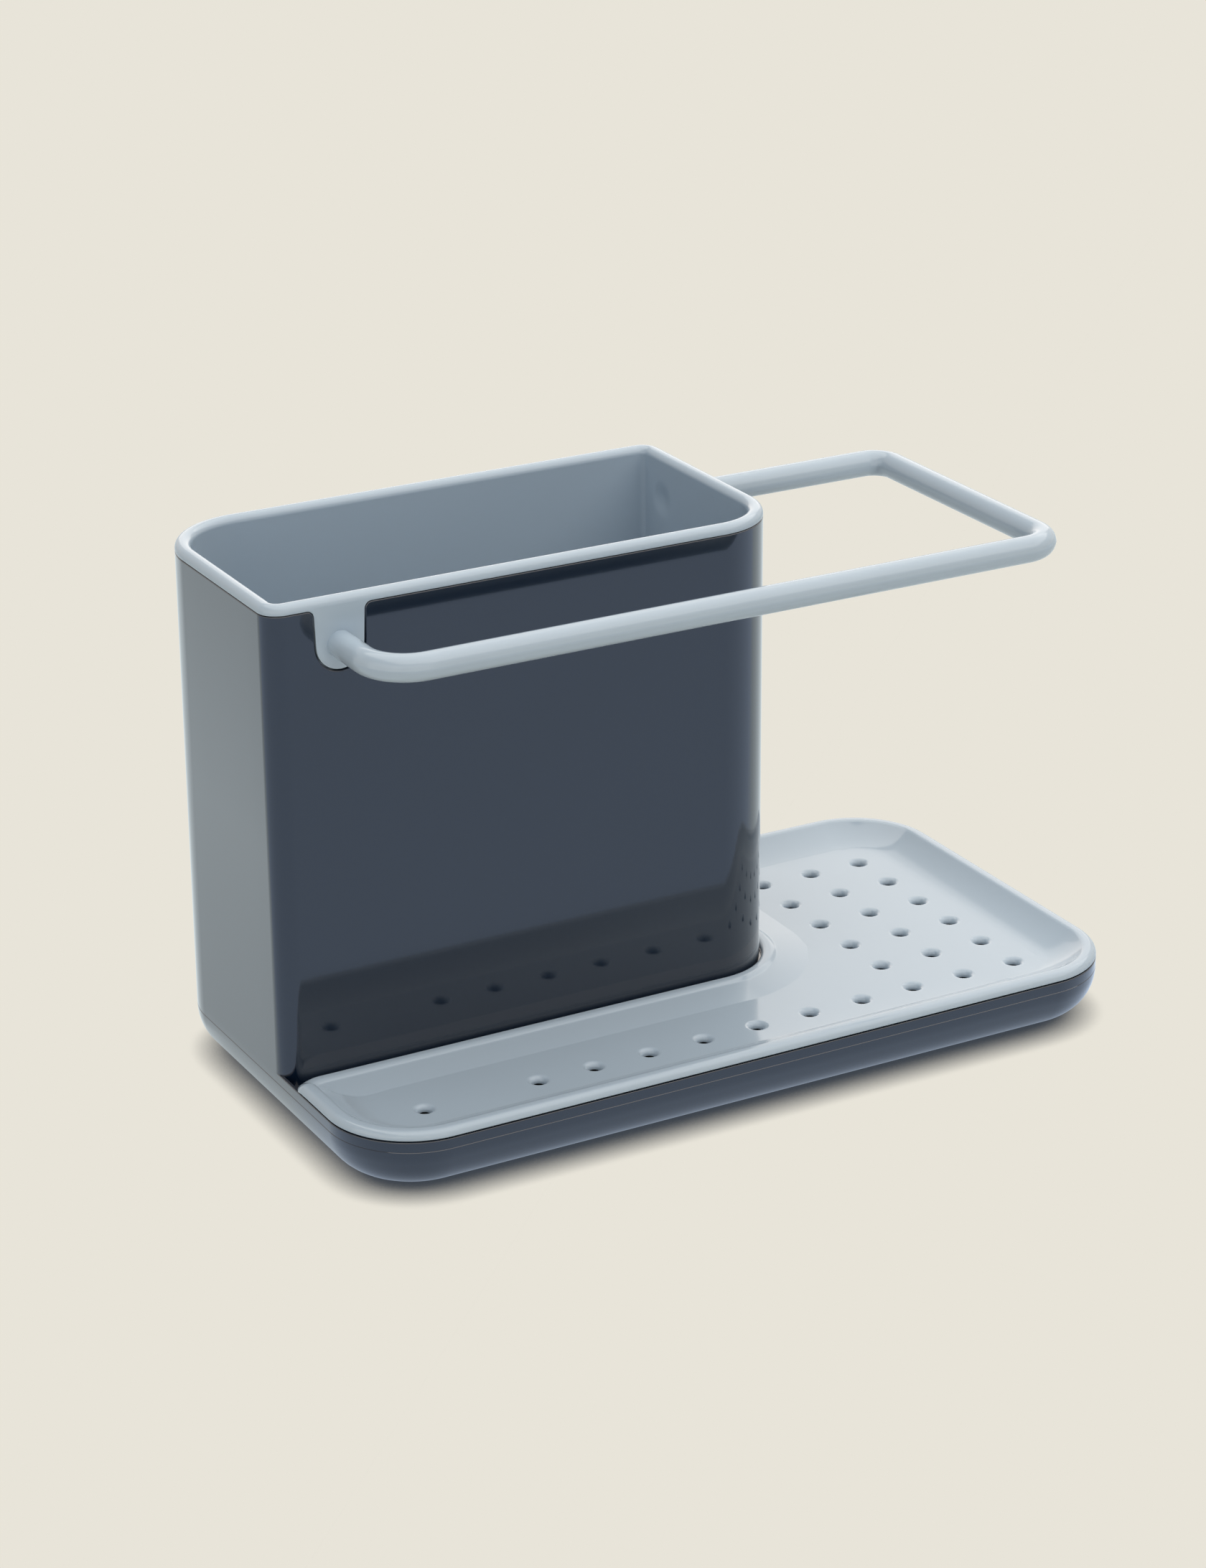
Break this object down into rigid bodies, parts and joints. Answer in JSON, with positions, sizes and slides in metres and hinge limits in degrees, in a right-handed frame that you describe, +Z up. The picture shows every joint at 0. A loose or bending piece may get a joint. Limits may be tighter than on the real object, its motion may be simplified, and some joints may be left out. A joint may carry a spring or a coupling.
{
  "type": "kitchen sink caddy",
  "caption": "Free-standing sink caddy: rounded drip base with a tall sleeve, lift-out compartment with a towel rail moulded to its rim, and an L-shaped perforated drainer tray.",
  "frame": {"origin": "on the worktop, under the middle of the base", "axes": "+Z up, +X along the length towards the end of the towel rail, +Y to the back"},
  "size_m": [0.206, 0.112, 0.1299],
  "materials": {
    "dark_plastic": "glossy moulded, slate grey",
    "pale_plastic": "glossy moulded, pale cool grey",
    "foot_rubber": "matt"
  },
  "bodies": {
    "base": {"outer_body": "dark_plastic", "foot_front_left": "foot_rubber", "foot_front_right": "foot_rubber", "foot_back_left": "foot_rubber", "foot_back_right": "foot_rubber"},
    "compartment": {"inner_compartment": "pale_plastic"},
    "tray": {"drainer_tray": "pale_plastic"}
  },
  "joints": [
    {"name": "compartment_lift", "type": "slide", "parent": "base", "child": "compartment", "axis": [0, 0, 1], "range_m": [0, 0.12]},
    {"name": "tray_lift", "type": "slide", "parent": "base", "child": "tray", "axis": [0, 0, 1], "range_m": [0, 0.06]}
  ]
}
